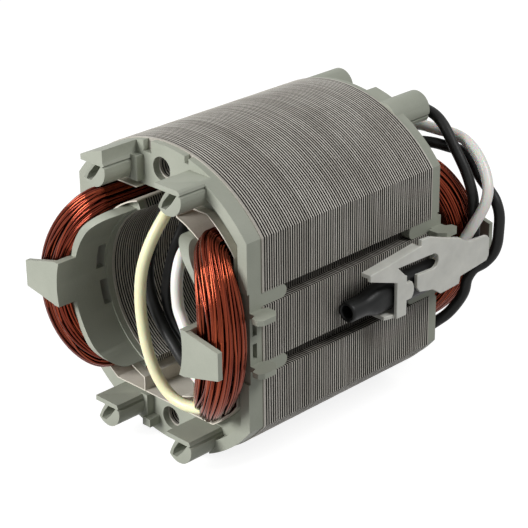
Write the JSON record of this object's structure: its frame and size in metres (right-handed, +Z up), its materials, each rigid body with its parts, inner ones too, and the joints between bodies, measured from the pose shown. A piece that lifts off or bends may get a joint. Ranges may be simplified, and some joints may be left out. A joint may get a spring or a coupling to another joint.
{
  "type": "wound stator",
  "caption": "Laminated motor stator with wound poles, moulded end insulators with wire clips, and leads that run to a booted terminal in a side clip.",
  "frame": {"origin": "on the bore's axis, half-way along the lamination stack", "axes": "+Y along the bore from the front end to the rear end with the connector holder, +X to the right pole, +Z up through the upper bolt hole"},
  "size_m": [0.0893, 0.1157, 0.093],
  "materials": {
    "electrical_steel": "stacked sheet edges, dull grey",
    "moulding": "grey-green glass-filled moulding",
    "enamelled_copper": "enamelled copper wire",
    "slot_paper": "insulating paper",
    "natural_nylon": "natural nylon, slightly translucent",
    "black_boot": "soft black sleeve",
    "terminal_brass": "stamped brass",
    "pale_insulation": "pale yellow cord insulation",
    "white_insulation": "white cord insulation",
    "black_insulation": "black cord insulation"
  },
  "bodies": {
    "root": {"lamination_stack": "electrical_steel", "front_end_insulator": "moulding", "rear_end_insulator": "moulding", "right_coil": "enamelled_copper", "left_coil": "enamelled_copper", "upper_right_slot_liner": "slot_paper", "upper_left_slot_liner": "slot_paper", "lower_right_slot_liner": "slot_paper", "lower_left_slot_liner": "slot_paper", "connector_holder": "natural_nylon", "terminal_boot": "black_boot", "receptacle_terminal": "terminal_brass", "pale_lead": "pale_insulation", "white_lead": "white_insulation", "inner_black_lead": "black_insulation", "outer_black_lead": "black_insulation"}
  },
  "joints": []
}
